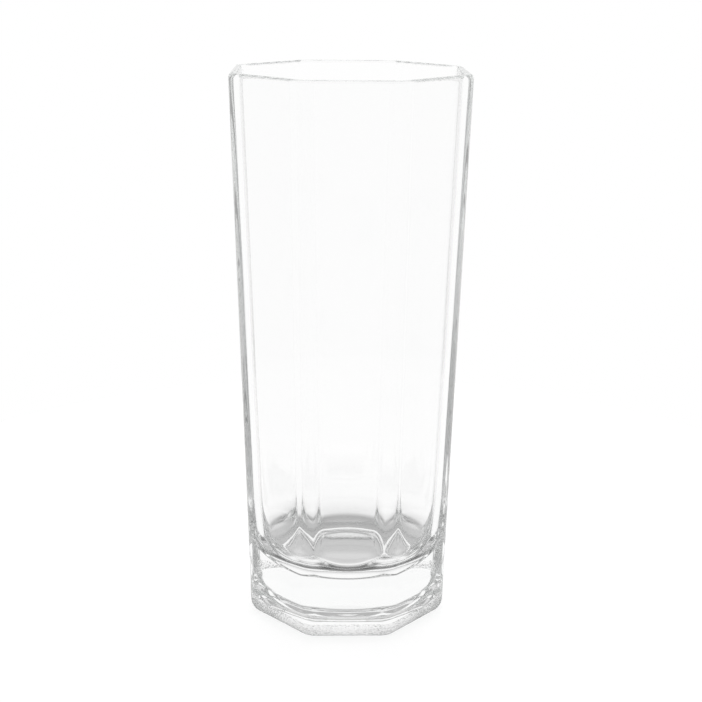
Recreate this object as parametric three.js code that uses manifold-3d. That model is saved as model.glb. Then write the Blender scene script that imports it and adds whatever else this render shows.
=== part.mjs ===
// A tall octagonal drinking tumbler, pressed in one piece from clear glass.
// Millimetres, +Z up. The origin is the middle of the foot and one flat faces -Y.

import * as THREE from "three";
import { mergeVertices } from "three/addons/utils/BufferGeometryUtils.js";
import Module from "manifold-3d";

// Outside: a straight taper of flat panels with softened upright edges
const sideCount = 8;
const height = 155;
const rimAcrossFlats = 63.6;
const footAcrossFlats = 56.2;
const edgeRadius = 5.4;

// Heel: the band where the panels turn in to the foot
const heelHeight = 3;
const heelInset = 1.9;

// Bore: follows the panels along the wall and turns round towards the floor
const rimWall = 2.2;
const lowerWall = 3.4;
const boreEdgeRadius = 9.3;
const boreRoundsBelow = 37;

// Lip: rounded over most of the wall, higher than it is wide
const lipRounding = rimWall * 0.45;
const lipRise = 1.6;

// Floor of the bore: a rounded corner and a shallow round step in the middle
const baseThickness = 14.5;
const floorFillet = 12;
const floorRoundness = 0.97;
const floorStepRadius = 11.8;
const floorStepDepth = 0.3;

// Underside: a hollow with a flat top and a rounded side, inside a flat bearing ring
const bearingWidth = 1.5;
const recessDepth = 6;
const recessRounding = 7;

// Fineness of the facets
const edgeSteps = 6;
const wallSteps = 4;
const roundingSteps = 6;
const filletSteps = 10;
const lipSteps = 4;
const heelSteps = 3;
const roundSteps = 72;
const recessSteps = 10;

// How far the cutting solids run past the faces that they open
const cutOverrun = 5;

const quarterTurn = Math.PI / 2;
const wasm = await Module();
wasm.setup();

// Half the width across the flats at a height on the straight taper
function apothemAt(z) {
  return THREE.MathUtils.lerp(footAcrossFlats, rimAcrossFlats, z / height) / 2;
}

// One level of a skin: an octagon with rounded corners, anticlockwise seen from above
function panelRing(apothem, cornerRadius, z) {
  const halfPanel = Math.PI / sideCount;
  const arcCentre = (apothem - cornerRadius) / Math.cos(halfPanel);
  const ring = [];
  for (let corner = 0; corner < sideCount; corner++) {
    const middle = (2 * corner + 1) * halfPanel;
    for (let step = 0; step <= edgeSteps; step++) {
      const turn = middle + halfPanel * ((2 * step) / edgeSteps - 1);
      const x = arcCentre * Math.cos(middle) + cornerRadius * Math.cos(turn);
      const y = arcCentre * Math.sin(middle) + cornerRadius * Math.sin(turn);
      ring.push(new THREE.Vector3(x, y, z));
    }
  }
  return ring;
}

// Closed skin over a stack of rings with equal point counts, from the lowest ring to the highest
function loftGeometry(rings) {
  const around = rings[0].length;
  const points = rings.flat();
  const index = [];
  for (let level = 0; level + 1 < rings.length; level++) {
    for (let i = 0; i < around; i++) {
      const near = level * around + i;
      const next = level * around + ((i + 1) % around);
      index.push(near, next, next + around);
      index.push(near, next + around, near + around);
    }
  }
  const lowCentre = points.push(new THREE.Vector3(0, 0, rings[0][0].z)) - 1;
  const highCentre = points.push(new THREE.Vector3(0, 0, rings.at(-1)[0].z)) - 1;
  const highStart = (rings.length - 1) * around;
  for (let i = 0; i < around; i++) {
    const next = (i + 1) % around;
    index.push(lowCentre, next, i);
    index.push(highCentre, highStart + i, highStart + next);
  }
  return new THREE.BufferGeometry().setFromPoints(points).setIndex(index);
}

// A half outline of radius and height, turned about the Z axis
function turnedGeometry(outline) {
  return new THREE.LatheGeometry(outline, roundSteps).rotateX(quarterTurn);
}

// The solid block that the bore and the recess are cut from
function outerBlock() {
  const rings = [];
  for (let step = 0; step <= heelSteps; step++) {
    const turn = (quarterTurn * step) / heelSteps;
    const z = heelHeight * (1 - Math.cos(turn));
    const inset = heelInset * (1 - Math.sin(turn));
    rings.push(panelRing(apothemAt(z) - inset, edgeRadius, z));
  }
  for (let step = 0; step <= lipSteps; step++) {
    const turn = (quarterTurn * step) / lipSteps;
    const z = height - lipRise * (1 - Math.sin(turn));
    const inset = lipRounding * (1 - Math.cos(turn));
    rings.push(panelRing(apothemAt(z) - inset, edgeRadius - inset, z));
  }
  return loftGeometry(rings);
}

// Half the bore's width across its flats, on the wall above the rounded corner
function boreApothemAt(z) {
  const filletTop = baseThickness + floorFillet;
  const up = (z - filletTop) / (height - filletTop);
  return apothemAt(z) - THREE.MathUtils.lerp(lowerWall, rimWall, up);
}

// Corner radius of the bore, from a softened octagon on the wall to nearly a circle at the floor
function boreCornerAt(z, apothem) {
  const share = THREE.MathUtils.smoothstep(z, baseThickness, boreRoundsBelow);
  return THREE.MathUtils.lerp(apothem * floorRoundness, boreEdgeRadius, share);
}

// The hollow that holds the drink: flat floor, rounded corner, tapered wall and rounded lip
function boreCutter() {
  const filletTop = baseThickness + floorFillet;
  const lipFoot = height - lipRise;
  const rings = [];
  for (let step = 0; step < filletSteps; step++) {
    const turn = (quarterTurn * step) / filletSteps;
    const z = filletTop - floorFillet * Math.cos(turn);
    const apothem = boreApothemAt(filletTop) - floorFillet * (1 - Math.sin(turn));
    rings.push(panelRing(apothem, boreCornerAt(z, apothem), z));
  }
  for (let step = 0; step < roundingSteps; step++) {
    const z = THREE.MathUtils.lerp(filletTop, boreRoundsBelow, step / roundingSteps);
    rings.push(panelRing(boreApothemAt(z), boreCornerAt(z, boreApothemAt(z)), z));
  }
  for (let step = 0; step < wallSteps; step++) {
    const z = THREE.MathUtils.lerp(boreRoundsBelow, lipFoot, step / wallSteps);
    rings.push(panelRing(boreApothemAt(z), boreEdgeRadius, z));
  }
  for (let step = 0; step <= lipSteps; step++) {
    const turn = (quarterTurn * step) / lipSteps;
    const z = lipFoot + lipRise * Math.sin(turn);
    const flare = lipRounding * (1 - Math.cos(turn));
    rings.push(panelRing(boreApothemAt(lipFoot) + flare, boreEdgeRadius + flare, z));
  }
  const mouth = boreApothemAt(lipFoot) + lipRounding;
  rings.push(panelRing(mouth, boreEdgeRadius + lipRounding, height + cutOverrun));
  return loftGeometry(rings);
}

// The shallow round step in the middle of the floor
function floorStepCutter() {
  return turnedGeometry([
    new THREE.Vector2(0, baseThickness - floorStepDepth),
    new THREE.Vector2(floorStepRadius - floorStepDepth, baseThickness - floorStepDepth),
    new THREE.Vector2(floorStepRadius, baseThickness),
    new THREE.Vector2(floorStepRadius, baseThickness + cutOverrun),
    new THREE.Vector2(0, baseThickness + cutOverrun),
  ]);
}

// The hollow under the foot: flat on top, with a side that curves down to the bearing ring
function recessCutter() {
  const edge = apothemAt(0) - heelInset - bearingWidth;
  const flat = edge - recessRounding;
  const side = Array.from({ length: recessSteps + 1 }, (_, step) => {
    const turn = (quarterTurn * step) / recessSteps;
    const x = flat + recessRounding * Math.cos(turn);
    const y = recessDepth * Math.sin(turn);
    return new THREE.Vector2(x, y);
  });
  return turnedGeometry([
    new THREE.Vector2(0, -cutOverrun),
    new THREE.Vector2(edge, -cutOverrun),
    ...side,
    new THREE.Vector2(0, recessDepth),
  ]);
}

// A closed geometry as a solid that can be cut
function solidOf(geometry) {
  geometry.deleteAttribute("normal");
  geometry.deleteAttribute("uv");
  const merged = mergeVertices(geometry);
  return new wasm.Manifold(
    new wasm.Mesh({
      numProp: 3,
      vertProperties: new Float32Array(merged.attributes.position.array),
      triVerts: new Uint32Array(merged.index.array),
    }),
  );
}

// A cut solid as a geometry again
function geometryOf(solid) {
  const mesh = solid.getMesh();
  const position = new THREE.BufferAttribute(mesh.vertProperties, mesh.numProp);
  const geometry = new THREE.BufferGeometry();
  geometry.setAttribute("position", position);
  geometry.setIndex(new THREE.BufferAttribute(mesh.triVerts, 1));
  geometry.computeVertexNormals();
  return geometry;
}

const clearGlass = new THREE.MeshStandardMaterial({
  color: 0xf4f7f6,
  roughness: 0.04,
  metalness: 0,
  transparent: true,
  opacity: 0.35,
});

const body = solidOf(outerBlock())
  .subtract(solidOf(boreCutter()))
  .subtract(solidOf(floorStepCutter()))
  .subtract(solidOf(recessCutter()));
const tumblerGlass = new THREE.Mesh(geometryOf(body), clearGlass);
tumblerGlass.name = "tumbler_glass";

const tumbler = new THREE.Group();
tumbler.add(tumblerGlass);

export default tumbler;
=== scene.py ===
"""Looks of a tall octagonal tumbler of clear pressed glass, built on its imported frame."""

import math

import bpy
import numpy as np
from bpy.props import FloatProperty, FloatVectorProperty, IntProperty, PointerProperty
from mathutils import Matrix, Vector


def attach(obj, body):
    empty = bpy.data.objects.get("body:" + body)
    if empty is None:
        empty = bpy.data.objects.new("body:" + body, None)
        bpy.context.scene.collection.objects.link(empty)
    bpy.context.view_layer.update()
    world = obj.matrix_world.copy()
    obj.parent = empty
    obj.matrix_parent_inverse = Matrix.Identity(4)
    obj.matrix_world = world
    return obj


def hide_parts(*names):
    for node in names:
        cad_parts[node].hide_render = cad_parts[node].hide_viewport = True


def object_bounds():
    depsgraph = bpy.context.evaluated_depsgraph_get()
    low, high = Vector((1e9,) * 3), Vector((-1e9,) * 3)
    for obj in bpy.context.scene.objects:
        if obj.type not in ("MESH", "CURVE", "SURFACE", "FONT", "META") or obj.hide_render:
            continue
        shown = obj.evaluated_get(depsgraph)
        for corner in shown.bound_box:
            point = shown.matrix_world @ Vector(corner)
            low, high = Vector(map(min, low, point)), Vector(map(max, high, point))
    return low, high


bl_info = {
    "name": "Tall tumbler",
    "version": (1, 0, 0),
    "blender": (4, 5, 0),
    "location": "View3D > Sidebar > Tumbler",
    "description": "Presses an octagonal glass tumbler and sets it on a pale studio table",
    "category": "Object",
}

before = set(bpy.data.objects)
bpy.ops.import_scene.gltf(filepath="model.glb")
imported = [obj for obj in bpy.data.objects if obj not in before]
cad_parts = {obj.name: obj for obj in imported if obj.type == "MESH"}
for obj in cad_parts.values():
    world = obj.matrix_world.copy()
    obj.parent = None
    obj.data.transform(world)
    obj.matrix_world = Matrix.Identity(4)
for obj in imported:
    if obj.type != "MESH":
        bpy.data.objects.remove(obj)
CAD_LOW, CAD_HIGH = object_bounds()
GLASS_NODE = "tumbler_glass"
MM = 0.001
QUARTER_TURN = math.pi / 2
PANELS = 8
HALF_PANEL = math.pi / PANELS

# Angles in degrees from the middle of a panel to its corner, closer where the edge curves
PANEL_ANGLES = (
    0, 4.5, 8.5, 11.5, 13.2, 14.2, 15.0, 15.8, 16.6,
    17.3, 17.9, 18.4, 18.9, 19.5, 20.2, 20.9, 21.7)
CORNER_ANGLE = 22.5

# Mesh of the level faces: first and last share of their width, and number of rings
HOLLOW_TOP = (0.05, 0.97, 10)
BEARING_RING = (0.06, 1, 7)
FLOOR_DISC = (0.97, 0.06, 12)

# Mesh of the curved forms: number of rings
HOLLOW_SIDE_RINGS = 28
HEEL_RINGS = 11
GRIP_RINGS = 5
LIP_RINGS = 9
FILLET_RINGS = 24
STEP_RINGS = 7

# Edge of the plunger's mark: level margin outside it and width of its slope
STEP_MARGIN = 0.25 * MM
STEP_SLOPE = 0.6 * MM

# Pressing waves: seed, number of waves, most crests round the glass and most radians per
# millimetre of height
BORE_WAVES = (11, 9, 7, 0.16)
PANEL_WAVES = (23, 7, 9, 0.1)

# Height of the panels' waves as a share of the bore's, and depth under the lip where both fade
PANEL_WAVE_SHARE = 0.2
WAVE_FADE = 12 * MM

# Grip texture: seed, power that makes deep pits rare, and share of the depth that is cut
STIPPLE_SEED = 5
STIPPLE_POWER = 2
STIPPLE_SHARE = 0.8

# Finishes of the glass: values of the ripple, of the film, and strength and distance of the bump
POLISHED = (
    {"Scale": 90.0, "Detail": 1.0},
    {"Scale": 45.0, "Clean": 0.0, "Filmed": 0.02},
    (0.03, 0.0002))
STIPPLED = (
    {"Scale": 1400.0, "Detail": 2.0},
    {"Scale": 300.0, "Clean": 0.15, "Filmed": 0.4},
    (1.0, 0.0004))

# Noise level at which the film starts and is full, and the noise's own detail and roughness
FILM_EDGE = (0.55, 0.75)
FILM_DETAIL = 4
FILM_ROUGHNESS = 0.6

# Share of the lamp's light that one face of the glass lets through to the table
SHADOW_TINT = (0.9, 0.9, 0.9, 1)

# Table top: its mesh, how far it lies under the foot and its level of white
TABLE_RINGS = 24
TABLE_RING_POWER = 1.2
TABLE_SIDES = 96
TABLE_DROP = 0.0002
TABLE_WHITE = 1.04

# Table as the glass shows it, painted light and painted shadow in rings by the foot that stand in
# for caustics and contact shadow, as radius in millimetres and level: through heel and wall, and
# through the floor behind the axis and in front of it
PAINTED_POOL_NEAR = (
    (0.0, 1.0), (15.0, 1.0), (18.0, 0.92), (21.0, 0.84), (23.0, 0.7),
    (25.0, 0.3), (28.0, 0.05), (30.0, 0.2), (36.0, 1.0))
PAINTED_POOL_BEHIND = (
    (0.0, 0.64), (12.0, 0.66), (18.0, 0.5), (26.0, 0.44),
    (32.0, 0.36), (35.0, 0.86), (40.0, 0.95), (50.0, 1.0))
PAINTED_POOL_BEFORE = (
    (0.0, 0.64), (12.0, 0.66), (14.0, 0.97), (20.0, 0.95),
    (23.0, 0.6), (25.0, 0.2), (29.0, 0.05), (36.0, 1.0))

# Where the painted pool in front gives way to the painted pool behind, where the front one's
# painted light pales to the sides and how far, and where the painted shade of the table far from
# the foot starts
PAINTED_POOL_TURNOVER = (-11 * MM, -3 * MM)
PAINTED_POOL_SIDES = (9 * MM, 15 * MM)
PAINTED_POOL_SIDE_LEVEL = 0.9
PAINTED_POOL_END = (36 * MM, 55 * MM)

# Turns of light in the glass: the most on the way through heel and wall, then where the painted
# pool pales to white, where the surroundings dim, and where light down the length of the wall is
# full again
WALL_TURNS = 3.5
PALING_TURNS = (8, 11)
DIMMING_TURNS = (5, 10)
LONG_WAY_TURNS = (22, 34)

# Painted shade: level of the far table as the glass shows it, as a share of the level of the
# surroundings, for often turned light
FAR_TABLE_SHARE = 0.6

# Degrees over the horizon where the ceiling starts, and degrees from the lamp where its glow does
CEILING_START = (32, 39)
LAMP_GLOW = (13, 8)

# Direction of the lamp from the glass, its distance in metres and the point it is aimed at
LAMP_TOWARDS = (0.03, 0.34, 0.94)
LAMP_DISTANCE = 0.62
LAMP_AIM = (0, 0, 0.05)

# Turns that the render follows, and the camera's sensor in millimetres and nearest distance
BOUNCES = 100
SENSOR_WIDTH = 36
CLIP_START = 0.01


class TumblerSizes(bpy.types.PropertyGroup):
    """Sizes of the glass, close to those of the part's solid, with its waves and grip texture."""

    height: FloatProperty(
        name="Height", description="Foot to lip",
        default=CAD_HIGH.z - CAD_LOW.z, unit="LENGTH")
    rim_flats: FloatProperty(
        name="Rim across flats", description="Width of the outside at the lip",
        default=63.6 * MM, unit="LENGTH")
    foot_flats: FloatProperty(
        name="Foot across flats", description="Width of the straight taper at the table",
        default=56.2 * MM, unit="LENGTH")
    edge_radius: FloatProperty(
        name="Edge radius", description="Rounding of the eight upright edges",
        default=5.4 * MM, unit="LENGTH")
    heel_height: FloatProperty(
        name="Heel height", description="How far up the panels start to turn in",
        default=3.0 * MM, unit="LENGTH")
    heel_inset: FloatProperty(
        name="Heel inset", description="How far the foot lies inside the panels",
        default=1.9 * MM, unit="LENGTH")
    rim_wall: FloatProperty(
        name="Rim wall", description="Glass thickness at the lip",
        default=2.2 * MM, unit="LENGTH")
    lower_wall: FloatProperty(
        name="Lower wall", description="Glass thickness where the floor starts to curve",
        default=3.4 * MM, unit="LENGTH")
    bore_edge_radius: FloatProperty(
        name="Bore edge radius", description="Rounding of the bore's upright corners",
        default=9.3 * MM, unit="LENGTH")
    bore_rounds_below: FloatProperty(
        name="Bore rounds below", description="Height under which the bore turns round",
        default=37.0 * MM, unit="LENGTH")
    lip_rounding: FloatProperty(
        name="Lip rounding",
        description="Width of the fire-polished rounding on each side of the lip",
        default=1.0 * MM, unit="LENGTH")
    lip_rise: FloatProperty(
        name="Lip rise", description="Height over which the lip is rounded",
        default=1.6 * MM, unit="LENGTH")
    base_thickness: FloatProperty(
        name="Base thickness", description="Height of the bore's floor",
        default=14.5 * MM, unit="LENGTH")
    floor_fillet: FloatProperty(
        name="Floor fillet", description="Radius between wall and floor",
        default=12.0 * MM, unit="LENGTH")
    floor_step_radius: FloatProperty(
        name="Floor step radius", description="Radius of the plunger's mark in the floor",
        default=11.8 * MM, unit="LENGTH")
    floor_step_depth: FloatProperty(
        name="Floor step depth", description="Depth of the plunger's mark",
        default=0.3 * MM, unit="LENGTH")
    bearing_width: FloatProperty(
        name="Bearing width", description="Width of the ring that the glass stands on",
        default=1.5 * MM, unit="LENGTH")
    recess_depth: FloatProperty(
        name="Recess depth", description="Depth of the hollow under the foot",
        default=6.0 * MM, unit="LENGTH")
    recess_rounding: FloatProperty(
        name="Recess rounding", description="Width of the rounded side of the hollow",
        default=7.0 * MM, unit="LENGTH")
    ripple: FloatProperty(
        name="Ripple", description="Height of the slow waves that pressing leaves in the bore",
        default=0.07 * MM, unit="LENGTH", precision=6)
    grip_height: FloatProperty(
        name="Grip height", description="Height of the stippled band round the foot",
        default=4.5 * MM, unit="LENGTH")
    stipple: FloatProperty(
        name="Stipple", description="Depth of the grip texture in that band",
        default=0.12 * MM, unit="LENGTH", precision=6)
    rows: IntProperty(
        name="Rows", description="Rings of mesh along each straight wall",
        default=56, min=8)


class TumblerFinish(bpy.types.PropertyGroup):
    """Finish of the glass."""

    tint: FloatVectorProperty(
        name="Tint", description="Colour that light keeps on its way through the glass",
        subtype="COLOR", size=3, min=0, max=1, default=(0.93, 0.94, 0.935))
    tint_density: FloatProperty(
        name="Tint density", description="How fast the glass takes its tint, per metre",
        default=6.0, min=0)
    refraction: FloatProperty(
        name="Refraction", description="Refractive index of soda-lime glass",
        default=1.52, min=1)


class TumblerStudio(bpy.types.PropertyGroup):
    """Table, surroundings, lamp and camera."""

    table_radius: FloatProperty(
        name="Table radius", description="Radius of the pale round table",
        default=0.2, unit="LENGTH")
    table_matt: FloatProperty(
        name="Table matt",
        description="Share of the table's white that comes from the light on it",
        default=0.3, min=0, max=1, subtype="FACTOR")
    room_light: FloatProperty(
        name="Room light", description="Level of the white surroundings as a light on the table",
        default=0.5, min=0)
    far_level: FloatProperty(
        name="Far level",
        description="Level of the surroundings for light that has turned often in the glass",
        default=0.3, min=0, max=1, subtype="FACTOR")
    ceiling_level: FloatProperty(
        name="Ceiling level",
        description="Level of the dim ceiling over the white backdrop, as the glass shows it",
        default=0.5, min=0, max=1, subtype="FACTOR")
    lamp_size: FloatProperty(
        name="Lamp size", description="Side of the soft square lamp",
        default=0.22, unit="LENGTH")
    lamp_power: FloatProperty(
        name="Lamp power", description="Power of the soft lamp",
        default=2.4, subtype="POWER")
    camera_distance: FloatProperty(
        name="Camera distance", description="Level distance from the glass's axis",
        default=0.34127, unit="LENGTH")
    camera_height: FloatProperty(
        name="Camera height", description="Height over the table",
        default=0.18421, unit="LENGTH")
    camera_side: FloatProperty(
        name="Camera side", description="Offset of the camera to the right of the axis",
        default=0.000846, unit="LENGTH", precision=5)
    camera_turn: FloatProperty(
        name="Camera turn", description="Turn of the camera round the glass",
        default=-0.0258, subtype="ANGLE")
    camera_tilt: FloatProperty(
        name="Camera tilt", description="How far the camera looks down",
        default=0.3064, subtype="ANGLE")
    camera_roll: FloatProperty(
        name="Camera roll", description="Roll of the camera about its view",
        default=0.0088, subtype="ANGLE")
    camera_lens: FloatProperty(
        name="Lens", description="Focal length on a 36 mm sensor",
        default=64.339, subtype="DISTANCE_CAMERA")


def mix(low, high, share):
    """Value a share of the way from low to high."""
    return low + (high - low) * share


def ease(value, start, end):
    """Share from 0 at start to 1 at end, eased at both ends."""
    share = np.clip((value - start) / (end - start), 0, 1)
    return share * share * (3 - 2 * share)


def round_angles():
    """Polar angles of one ring, closer together where the upright edges curve."""
    half = np.array(PANEL_ANGLES)
    panel = np.concatenate([-half[:0:-1], half, [CORNER_ANGLE]])
    turns = np.arange(PANELS) * 2 * HALF_PANEL
    return (turns[:, None] + np.radians(panel)[None, :]).ravel()


def panel_radius(apothem, corner, angles):
    """Distance from the axis to an octagon with rounded corners, at each polar angle."""
    fold = np.abs((angles + HALF_PANEL) % (2 * HALF_PANEL) - HALF_PANEL)
    centre = (apothem - corner) / math.cos(HALF_PANEL)
    off = fold - HALF_PANEL
    reach = np.sqrt(np.maximum(corner ** 2 - (centre * np.sin(off)) ** 2, 0))
    arc = centre * np.cos(off) + reach
    flat = apothem / np.cos(fold)
    on_flat = apothem * np.tan(fold) <= (apothem - corner) * math.tan(HALF_PANEL)
    return np.where(on_flat, flat, arc)


def waves(angles, z, seed, count, crests, slant):
    """Slow uneven waves round and along a wall, between -1 and 1."""
    rng = np.random.default_rng(seed)
    total = np.zeros(np.broadcast(angles, z).shape)
    for _ in range(count):
        around = rng.integers(1, crests + 1)
        along = rng.uniform(-slant, slant)
        total += np.cos(around * angles + along * z / MM + rng.uniform(0, 2 * math.pi))
    return total / count


class GlassSkin:
    """Stack of rings from the middle of the underside, over heel and lip, to that of the floor."""

    def __init__(self, sizes):
        self.s = sizes
        self.angles = round_angles()
        self.rings = []
        self.kinds = []

    def outer(self, z):
        """Half the outside's width across its flats."""
        return mix(self.s.foot_flats, self.s.rim_flats, z / self.s.height) / 2

    def bore(self, z):
        """Half the bore's width across its flats, above the rounding of the floor."""
        top = self.s.base_thickness + self.s.floor_fillet
        up = (z - top) / (self.s.height - top)
        return self.outer(z) - mix(self.s.lower_wall, self.s.rim_wall, up)

    def bore_corner(self, z, apothem):
        """Corner radius of the bore, from a circle at the floor to a softened octagon."""
        share = ease(z, self.s.base_thickness, self.s.bore_rounds_below)
        return mix(apothem, self.s.bore_edge_radius, share)

    def add(self, apothem, corner, z, kind):
        """Put the next ring on the stack."""
        radius = panel_radius(apothem, corner, self.angles)
        x = radius * np.cos(self.angles)
        y = radius * np.sin(self.angles)
        self.rings.append(np.stack([x, y, np.full_like(radius, z)], 1))
        self.kinds.append(kind)

    def underside(self):
        """Hollow under the foot and the bearing ring round it."""
        s = self.s
        edge = s.foot_flats / 2 - s.heel_inset - s.bearing_width
        flat = edge - s.recess_rounding
        for share in np.linspace(*HOLLOW_TOP):
            self.add(flat * share, flat * share, s.recess_depth, "hollow")
        for turn in np.linspace(QUARTER_TURN, 0, HOLLOW_SIDE_RINGS):
            radius = flat + s.recess_rounding * math.cos(turn)
            self.add(radius, radius, s.recess_depth * math.sin(turn), "hollow")
        foot = edge + s.bearing_width
        for share in np.linspace(*BEARING_RING):
            corner = mix(edge, s.edge_radius, share)
            self.add(mix(edge, foot, share), corner, 0, "bearing")

    def outside(self):
        """Heel, the rest of the stippled band, and the panels up to the lip."""
        s = self.s
        for turn in np.linspace(0, QUARTER_TURN, HEEL_RINGS)[1:]:
            z = s.heel_height * (1 - math.cos(turn))
            inset = s.heel_inset * (1 - math.sin(turn))
            self.add(self.outer(z) - inset, s.edge_radius, z, "heel")
        for z in np.linspace(s.heel_height, s.grip_height, GRIP_RINGS)[1:]:
            self.add(self.outer(z), s.edge_radius, z, "heel")
        top = s.height - s.lip_rise
        for z in np.linspace(s.grip_height, top, s.rows)[1:-1]:
            self.add(self.outer(z), s.edge_radius, z, "panel")

    def lip(self):
        """Rounding of the lip, up the outside and down into the bore."""
        s = self.s
        foot = s.height - s.lip_rise
        for turn in np.linspace(0, QUARTER_TURN, LIP_RINGS):
            z = foot + s.lip_rise * math.sin(turn)
            inset = s.lip_rounding * (1 - math.cos(turn))
            self.add(self.outer(z) - inset, s.edge_radius - inset, z, "lip")
        for turn in np.linspace(QUARTER_TURN, 0, LIP_RINGS):
            z = foot + s.lip_rise * math.sin(turn)
            flare = s.lip_rounding * (1 - math.cos(turn))
            self.add(self.bore(foot) + flare, s.bore_edge_radius + flare, z, "lip")

    def inside(self):
        """Wall of the bore and its rounding down to the floor."""
        s = self.s
        fillet_top = s.base_thickness + s.floor_fillet
        foot = s.height - s.lip_rise
        for z in np.linspace(foot, fillet_top, s.rows)[1:-1]:
            self.add(self.bore(z), self.bore_corner(z, self.bore(z)), z, "bore")
        for turn in np.linspace(0, QUARTER_TURN, FILLET_RINGS):
            z = fillet_top - s.floor_fillet * math.sin(turn)
            apothem = self.bore(fillet_top) - s.floor_fillet * (1 - math.cos(turn))
            self.add(apothem, self.bore_corner(z, apothem), z, "fillet")

    def floor(self):
        """Floor of the bore with the plunger's mark."""
        s = self.s
        step = s.floor_step_radius
        self.add(step + STEP_MARGIN, step + STEP_MARGIN, s.base_thickness, "floor")
        for share in np.linspace(0, 1, STEP_RINGS):
            radius = step - STEP_SLOPE * share
            z = s.base_thickness - s.floor_step_depth * ease(share, 0, 1)
            self.add(radius, radius, z, "floor")
        for share in np.linspace(*FLOOR_DISC):
            radius = (step - STEP_SLOPE) * share
            self.add(radius, radius, s.base_thickness - s.floor_step_depth, "floor")

    def wander(self):
        """All rings, with the pressing's waves in the walls and the grip texture on the foot."""
        s = self.s
        kinds = np.array(self.kinds)
        skin = np.stack(self.rings)
        angles = self.angles[None, :]
        z = skin[:, :1, 2]
        level = skin[:, 0, 2]
        top = ease(level, s.height, s.height - WAVE_FADE)
        fade = ease(level, s.base_thickness, s.bore_rounds_below) * top
        deep = ease(level, s.base_thickness, s.base_thickness + s.floor_fillet) * top
        slow = waves(angles, z, *BORE_WAVES)
        on_bore = np.isin(kinds, ["bore", "fillet"])[:, None]
        inner = on_bore * deep[:, None] * slow * s.ripple
        calm = waves(angles, z, *PANEL_WAVES)
        on_panel = (kinds == "panel")[:, None]
        outer = on_panel * fade[:, None] * (calm - 1) * PANEL_WAVE_SHARE * s.ripple
        radius = np.hypot(skin[:, :, 0], skin[:, :, 1])
        scale = (radius + inner + outer) / radius
        skin[:, :, :2] *= scale[:, :, None]
        rows = np.where(kinds == "heel")[0]
        rng = np.random.default_rng(STIPPLE_SEED)
        # The lowest ring of the band and its top two stay smooth
        for row in rows[1:-2]:
            pits = rng.random(len(self.angles)) ** STIPPLE_POWER * s.stipple
            length = np.hypot(skin[row, :, 0], skin[row, :, 1])
            skin[row, :, :2] *= (1 - STIPPLE_SHARE * pits / length)[:, None]
        return skin

    def mesh(self, name):
        """Closed smooth mesh, with the second material slot on the stippled band."""
        self.underside()
        self.outside()
        self.lip()
        self.inside()
        self.floor()
        skin = self.wander()
        levels, around, _ = skin.shape
        poles = [[0, 0, self.s.recess_depth], [0, 0, skin[-1, 0, 2]]]
        points = np.concatenate([skin.reshape(-1, 3), poles])
        near = np.arange(around)
        after = (near + 1) % around
        faces = []
        slots = []
        for level in range(levels - 1):
            low = level * around
            high = low + around
            quads = np.stack([low + near, low + after, high + after, high + near], 1)
            faces += quads.tolist()
            slots += [int(self.kinds[level + 1] == "heel")] * around
        start = (levels - 1) * around
        pole = levels * around
        faces += np.stack([np.full(around, pole), after, near], 1).tolist()
        faces += np.stack([np.full(around, pole + 1), start + near, start + after], 1).tolist()
        slots += [0] * (2 * around)
        mesh = bpy.data.meshes.new(name)
        mesh.from_pydata(points.tolist(), [], faces)
        mesh.polygons.foreach_set("material_index", slots)
        mesh.shade_smooth()
        mesh.update()
        return mesh


def feed(tree, socket, value):
    """Link an output to a socket, or set a number on it."""
    if isinstance(value, bpy.types.NodeSocket):
        tree.links.new(value, socket)
    else:
        socket.default_value = value


def reckon(tree, operation, *values):
    """Result of a math node, each value a number or an output."""
    node = tree.nodes.new("ShaderNodeMath")
    node.operation = operation
    for socket, value in zip(node.inputs, values):
        feed(tree, socket, value)
    return node.outputs[0]


def blend(tree, share, low, high):
    """Mix of two levels, each a number or an output."""
    node = tree.nodes.new("ShaderNodeMix")
    for index, value in ((0, share), (2, low), (3, high)):
        feed(tree, node.inputs[index], value)
    return node.outputs[0]


def graded(tree, value, reach, low=0, high=1, kind="SMOOTHSTEP"):
    """Level that goes from low to high while the value goes along its reach."""
    node = tree.nodes.new("ShaderNodeMapRange")
    node.interpolation_type = kind
    node.inputs["From Min"].default_value = reach[0]
    node.inputs["From Max"].default_value = reach[1]
    node.inputs["To Min"].default_value = low
    node.inputs["To Max"].default_value = high
    tree.links.new(value, node.inputs["Value"])
    return node.outputs["Result"]


def new_group(name, inputs, outputs):
    """Empty shader node group with named sockets."""
    group = bpy.data.node_groups.new(name, "ShaderNodeTree")
    for label, kind, default in inputs:
        socket = group.interface.new_socket(label, in_out="INPUT", socket_type=kind)
        socket.default_value = default
    for label, kind in outputs:
        group.interface.new_socket(label, in_out="OUTPUT", socket_type=kind)
    entry = group.nodes.new("NodeGroupInput")
    exit_node = group.nodes.new("NodeGroupOutput")
    return group, entry, exit_node


def pressed_ripple():
    """Group: faint orange-peel of a pressing, as a bump height."""
    group, entry, out = new_group(
        "pressed_ripple",
        [("Scale", "NodeSocketFloat", 120.0), ("Detail", "NodeSocketFloat", 1.0)],
        [("Height", "NodeSocketFloat")])
    link = group.links.new
    place = group.nodes.new("ShaderNodeTexCoord")
    peel = group.nodes.new("ShaderNodeTexNoise")
    link(place.outputs["Object"], peel.inputs["Vector"])
    link(entry.outputs["Scale"], peel.inputs["Scale"])
    link(entry.outputs["Detail"], peel.inputs["Detail"])
    link(peel.outputs["Fac"], out.inputs["Height"])
    return group


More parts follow.
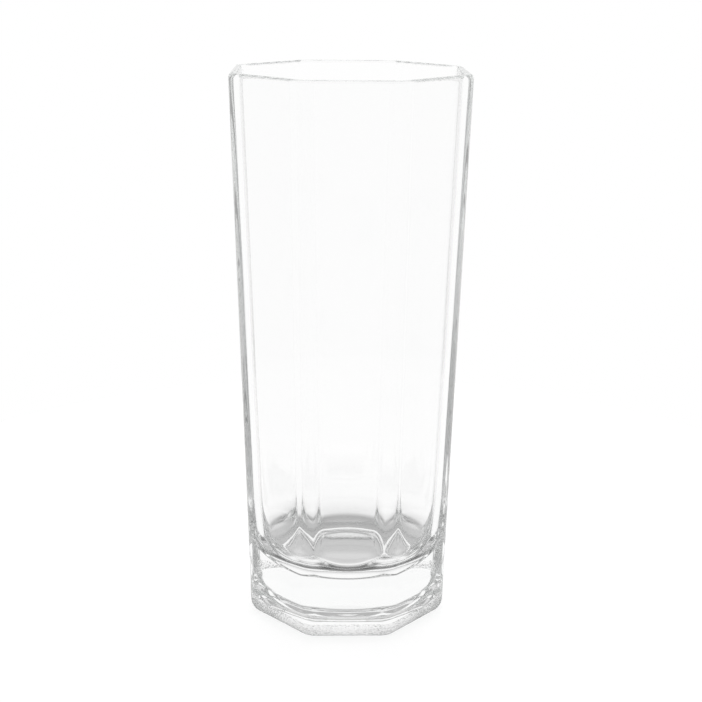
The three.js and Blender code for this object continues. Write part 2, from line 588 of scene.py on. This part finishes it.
def handling_film():
    """Group: thin uneven film that washing and handling leave, as a colour and a roughness."""
    group, entry, out = new_group(
        "handling_film",
        [("Scale", "NodeSocketFloat", 60.0),
         ("Clean", "NodeSocketFloat", 0.0),
         ("Filmed", "NodeSocketFloat", 0.03),
         ("Clear colour", "NodeSocketColor", (1, 1, 1, 1)),
         ("Film colour", "NodeSocketColor", (0.985, 0.985, 0.985, 1))],
        [("Colour", "NodeSocketColor"), ("Roughness", "NodeSocketFloat")])
    link = group.links.new
    place = group.nodes.new("ShaderNodeTexCoord")
    cloud = group.nodes.new("ShaderNodeTexNoise")
    cloud.inputs["Detail"].default_value = FILM_DETAIL
    cloud.inputs["Roughness"].default_value = FILM_ROUGHNESS
    link(place.outputs["Object"], cloud.inputs["Vector"])
    link(entry.outputs["Scale"], cloud.inputs["Scale"])
    mask = graded(group, cloud.outputs["Fac"], FILM_EDGE)
    rough = blend(group, mask, entry.outputs["Clean"], entry.outputs["Filmed"])
    colour = group.nodes.new("ShaderNodeMix")
    colour.data_type = "RGBA"
    link(mask, colour.inputs[0])
    link(entry.outputs["Clear colour"], colour.inputs[6])
    link(entry.outputs["Film colour"], colour.inputs[7])
    link(colour.outputs[2], out.inputs["Colour"])
    link(rough, out.inputs["Roughness"])
    return group


def use_group(tree, group, values):
    """Node of a group with its own values."""
    node = tree.nodes.new("ShaderNodeGroup")
    node.node_tree = group
    for label, value in values.items():
        node.inputs[label].default_value = value
    return node


def glass_material(name, finish, ripple, film, surface):
    """Clear glass that lets lamp light through to the table."""
    ripple_values, film_values, (strength, distance) = surface
    material = bpy.data.materials.new(name)
    material.use_nodes = True
    tree = material.node_tree
    tree.nodes.clear()
    link = tree.links.new
    out = tree.nodes.new("ShaderNodeOutputMaterial")
    glass = tree.nodes.new("ShaderNodeBsdfPrincipled")
    glass.inputs["Transmission Weight"].default_value = 1
    glass.inputs["Metallic"].default_value = 0
    glass.inputs["IOR"].default_value = finish.refraction
    film_node = use_group(tree, film, film_values)
    ripple_node = use_group(tree, ripple, ripple_values)
    bump = tree.nodes.new("ShaderNodeBump")
    bump.inputs["Strength"].default_value = strength
    bump.inputs["Distance"].default_value = distance
    link(film_node.outputs["Colour"], glass.inputs["Base Color"])
    link(film_node.outputs["Roughness"], glass.inputs["Roughness"])
    link(ripple_node.outputs["Height"], bump.inputs["Height"])
    link(bump.outputs["Normal"], glass.inputs["Normal"])
    rays = tree.nodes.new("ShaderNodeLightPath")
    clear = tree.nodes.new("ShaderNodeBsdfTransparent")
    clear.inputs["Color"].default_value = SHADOW_TINT
    pick = tree.nodes.new("ShaderNodeMixShader")
    link(rays.outputs["Is Shadow Ray"], pick.inputs[0])
    link(glass.outputs[0], pick.inputs[1])
    link(clear.outputs[0], pick.inputs[2])
    link(pick.outputs[0], out.inputs["Surface"])
    depth = tree.nodes.new("ShaderNodeVolumeAbsorption")
    depth.inputs["Color"].default_value = (*finish.tint, 1)
    depth.inputs["Density"].default_value = finish.tint_density
    link(depth.outputs[0], out.inputs["Volume"])
    return material


class TUMBLER_OT_press_glass(bpy.types.Operator):
    """Press the glass body in place of its plain solid"""

    bl_idname = "tumbler.press_glass"
    bl_label = "Press glass"

    def execute(self, context):
        sizes = context.scene.tumbler_sizes
        finish = context.scene.tumbler_finish
        body = bpy.data.objects.new("pressed_glass", GlassSkin(sizes).mesh("pressed_glass"))
        context.scene.collection.objects.link(body)
        ripple = pressed_ripple()
        film = handling_film()
        for name, surface in (("polished_glass", POLISHED), ("stippled_glass", STIPPLED)):
            body.data.materials.append(glass_material(name, finish, ripple, film, surface))
        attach(body, "root")
        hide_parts(GLASS_NODE)
        return {"FINISHED"}


def table_mesh(radius):
    """Flat round table top in rings."""
    rings = radius * np.linspace(0, 1, TABLE_RINGS)[1:] ** TABLE_RING_POWER
    turns = np.linspace(0, 2 * math.pi, TABLE_SIDES, endpoint=False)
    points = [(0, 0, 0)]
    points += [(r * math.cos(t), r * math.sin(t), 0) for r in rings for t in turns]
    count = len(turns)
    faces = [(0, 1 + i, 1 + (i + 1) % count) for i in range(count)]
    for level in range(len(rings) - 1):
        low = 1 + level * count
        for i in range(count):
            j = (i + 1) % count
            faces.append((low + i, low + count + i, low + count + j, low + j))
    mesh = bpy.data.meshes.new("table")
    mesh.from_pydata(points, [], faces)
    mesh.update()
    return mesh


def painted_pool_ramp(tree, distance, stops):
    """Painted light and shade of the table over the distance from the axis."""
    end = stops[-1][0]
    ramp = tree.nodes.new("ShaderNodeValToRGB")
    marks = ramp.color_ramp.elements
    while len(marks) < len(stops):
        marks.new(0.5)
    for mark, (radius, level) in zip(marks, stops):
        mark.position = radius / end
        mark.color = (level, level, level, 1)
    tree.links.new(graded(tree, distance, (0, end * MM), kind="LINEAR"), ramp.inputs["Fac"])
    return ramp.outputs["Color"]


def often_turned(tree, turns, level):
    """Dimmer level for light that has turned often, but has not run the length of the wall."""
    dimmed = graded(tree, turns, DIMMING_TURNS, 1, level)
    return reckon(tree, "MAXIMUM", dimmed, graded(tree, turns, LONG_WAY_TURNS))


def painted_table_level(tree, turns, far_level):
    """Table as the glass shows it: painted light and shadow by the foot, and painted shade far off.
    """
    place = tree.nodes.new("ShaderNodeTexCoord")
    reach = tree.nodes.new("ShaderNodeVectorMath")
    reach.operation = "LENGTH"
    tree.links.new(place.outputs["Object"], reach.inputs[0])
    distance = reach.outputs["Value"]
    cut = tree.nodes.new("ShaderNodeSeparateXYZ")
    tree.links.new(place.outputs["Object"], cut.inputs[0])
    # Painted light and shadow in rings: behind the axis, in front of it, and through heel and wall
    behind, before, near = [
        painted_pool_ramp(tree, distance, stops) for stops in (PAINTED_POOL_BEHIND, PAINTED_POOL_BEFORE, PAINTED_POOL_NEAR)]
    across = reckon(tree, "ABSOLUTE", cut.outputs["X"])
    paler = reckon(tree, "MAXIMUM", before, graded(tree, across, PAINTED_POOL_SIDES, 0, PAINTED_POOL_SIDE_LEVEL))
    through_floor = blend(tree, graded(tree, cut.outputs["Y"], PAINTED_POOL_TURNOVER), paler, behind)
    deep = reckon(tree, "GREATER_THAN", turns, WALL_TURNS)
    through = blend(tree, deep, near, through_floor)
    under = blend(tree, graded(tree, turns, PALING_TURNS, kind="LINEAR"), through, 1)
    # Painted shade on the far table for often turned light
    far = often_turned(tree, turns, FAR_TABLE_SHARE * far_level)
    away = blend(tree, graded(tree, distance, PAINTED_POOL_END), 1, far)
    return reckon(tree, "MULTIPLY", under, away)


def table_material(studio):
    """Pale table: white with a soft shadow, and with a painted pool of light and shadow where the
    glass shows it.
    """
    material = bpy.data.materials.new("pale_table")
    material.use_nodes = True
    tree = material.node_tree
    tree.nodes.clear()
    link = tree.links.new
    out = tree.nodes.new("ShaderNodeOutputMaterial")
    matt = tree.nodes.new("ShaderNodeBsdfDiffuse")
    matt.inputs["Color"].default_value = (*[studio.table_matt] * 3, 1)
    lift = tree.nodes.new("ShaderNodeEmission")
    lift.inputs["Strength"].default_value = TABLE_WHITE - studio.table_matt
    white = tree.nodes.new("ShaderNodeAddShader")
    link(matt.outputs[0], white.inputs[0])
    link(lift.outputs[0], white.inputs[1])
    rays = tree.nodes.new("ShaderNodeLightPath")
    level = painted_table_level(tree, rays.outputs["Ray Depth"], studio.far_level)
    # The table glows with the painted light and shadow only where the glass shows it
    painted_pool_glow = tree.nodes.new("ShaderNodeEmission")
    link(level, painted_pool_glow.inputs["Strength"])
    glossy, through = rays.outputs["Is Glossy Ray"], rays.outputs["Is Transmission Ray"]
    pick = tree.nodes.new("ShaderNodeMixShader")
    link(reckon(tree, "MAXIMUM", glossy, through), pick.inputs[0])
    link(white.outputs[0], pick.inputs[1])
    link(painted_pool_glow.outputs[0], pick.inputs[2])
    link(pick.outputs[0], out.inputs["Surface"])
    return material


def studio_world(studio):
    """White surroundings, with a dim ceiling in the glass and dimmer as a light on the table."""
    world = bpy.data.worlds.new("white_studio")
    world.use_nodes = True
    tree = world.node_tree
    tree.nodes.clear()
    link = tree.links.new
    out = tree.nodes.new("ShaderNodeOutputWorld")
    rays = tree.nodes.new("ShaderNodeLightPath")
    place = tree.nodes.new("ShaderNodeTexCoord")
    cut = tree.nodes.new("ShaderNodeSeparateXYZ")
    link(place.outputs["Generated"], cut.inputs[0])
    heights = [math.sin(math.radians(angle)) for angle in CEILING_START]
    high = graded(tree, cut.outputs["Z"], heights)
    towards = tree.nodes.new("ShaderNodeVectorMath")
    towards.operation = "DOT_PRODUCT"
    towards.inputs[1].default_value = LAMP_TOWARDS
    link(place.outputs["Generated"], towards.inputs[0])
    edges = [math.cos(math.radians(angle)) for angle in LAMP_GLOW]
    lamp = graded(tree, towards.outputs["Value"], edges)
    around = blend(tree, high, 1, blend(tree, lamp, studio.ceiling_level, 1))
    turned = often_turned(tree, rays.outputs["Ray Depth"], studio.far_level)
    in_glass = reckon(tree, "MULTIPLY", around, turned)
    level = blend(tree, rays.outputs["Is Diffuse Ray"], in_glass, studio.room_light)
    shown = reckon(tree, "MAXIMUM", level, rays.outputs["Is Camera Ray"])
    light = tree.nodes.new("ShaderNodeBackground")
    light.inputs["Color"].default_value = (1, 1, 1, 1)
    link(shown, light.inputs["Strength"])
    link(light.outputs[0], out.inputs["Surface"])
    return world


def soft_lamp(studio):
    """Square soft lamp over the glass, a little to the back."""
    lamp = bpy.data.lights.new("soft_lamp", "AREA")
    lamp.size = studio.lamp_size
    lamp.energy = studio.lamp_power
    holder = bpy.data.objects.new("soft_lamp", lamp)
    holder.visible_glossy = False
    holder.visible_transmission = False
    holder.location = Vector(LAMP_TOWARDS) * LAMP_DISTANCE
    aim = Vector(LAMP_AIM) - holder.location
    holder.rotation_euler = aim.to_track_quat("-Z", "Y").to_euler()
    return holder


class TUMBLER_OT_set_stage(bpy.types.Operator):
    """Set the pale table, the white surroundings and the soft lamp"""

    bl_idname = "tumbler.set_stage"
    bl_label = "Set stage"

    def execute(self, context):
        scene = context.scene
        studio = scene.tumbler_studio
        table = bpy.data.objects.new("table", table_mesh(studio.table_radius))
        table.data.materials.append(table_material(studio))
        table.location.z = -TABLE_DROP
        scene.collection.objects.link(table)
        scene.collection.objects.link(soft_lamp(studio))
        scene.world = studio_world(studio)
        scene.view_settings.view_transform = "Standard"
        scene.cycles.max_bounces = BOUNCES
        scene.cycles.glossy_bounces = BOUNCES
        scene.cycles.transmission_bounces = BOUNCES
        return {"FINISHED"}


class TUMBLER_OT_place_camera(bpy.types.Operator):
    """Place the camera at the viewing angle of the photograph"""

    bl_idname = "tumbler.place_camera"
    bl_label = "Place camera"

    def execute(self, context):
        studio = context.scene.tumbler_studio
        tilt, roll = studio.camera_tilt, studio.camera_roll
        forward = Vector((0, math.cos(tilt), -math.sin(tilt)))
        level = Vector((1, 0, 0))
        down = Vector((0, -math.sin(tilt), -math.cos(tilt)))
        right = level * math.cos(roll) - down * math.sin(roll)
        up = -(level * math.sin(roll) + down * math.cos(roll))
        axes = Matrix((right, up, -forward)).transposed().to_4x4()
        spot = (studio.camera_side, -studio.camera_distance, studio.camera_height)
        turn = Matrix.Rotation(studio.camera_turn, 4, "Z")
        lens = bpy.data.cameras.new("photo_camera")
        lens.sensor_width = SENSOR_WIDTH
        lens.lens = studio.camera_lens
        lens.clip_start = CLIP_START
        camera = bpy.data.objects.new("photo_camera", lens)
        camera.matrix_world = turn @ Matrix.Translation(spot) @ axes
        context.scene.collection.objects.link(camera)
        context.scene.camera = camera
        return {"FINISHED"}


OPERATORS = (TUMBLER_OT_press_glass, TUMBLER_OT_set_stage, TUMBLER_OT_place_camera)
GROUPS = {
    "tumbler_sizes": TumblerSizes,
    "tumbler_finish": TumblerFinish,
    "tumbler_studio": TumblerStudio,
}


class TUMBLER_PT_panel(bpy.types.Panel):
    """Steps and values of the tumbler"""

    bl_idname = "TUMBLER_PT_panel"
    bl_label = "Tall tumbler"
    bl_space_type = "VIEW_3D"
    bl_region_type = "UI"
    bl_category = "Tumbler"

    def draw(self, context):
        for operator in OPERATORS:
            self.layout.operator(operator.bl_idname)
        for label, group in GROUPS.items():
            values = getattr(context.scene, label)
            column = self.layout.column(align=True)
            for field in group.__annotations__:
                column.prop(values, field)


CLASSES = (*GROUPS.values(), *OPERATORS, TUMBLER_PT_panel)


def register():
    for cls in CLASSES:
        bpy.utils.register_class(cls)
    for label, group in GROUPS.items():
        setattr(bpy.types.Scene, label, PointerProperty(type=group))


def unregister():
    for label in GROUPS:
        delattr(bpy.types.Scene, label)
    for cls in reversed(CLASSES):
        bpy.utils.unregister_class(cls)


def main():
    register()
    bpy.ops.tumbler.press_glass()
    bpy.ops.tumbler.set_stage()
    bpy.ops.tumbler.place_camera()


if __name__ == "__main__":
    main()
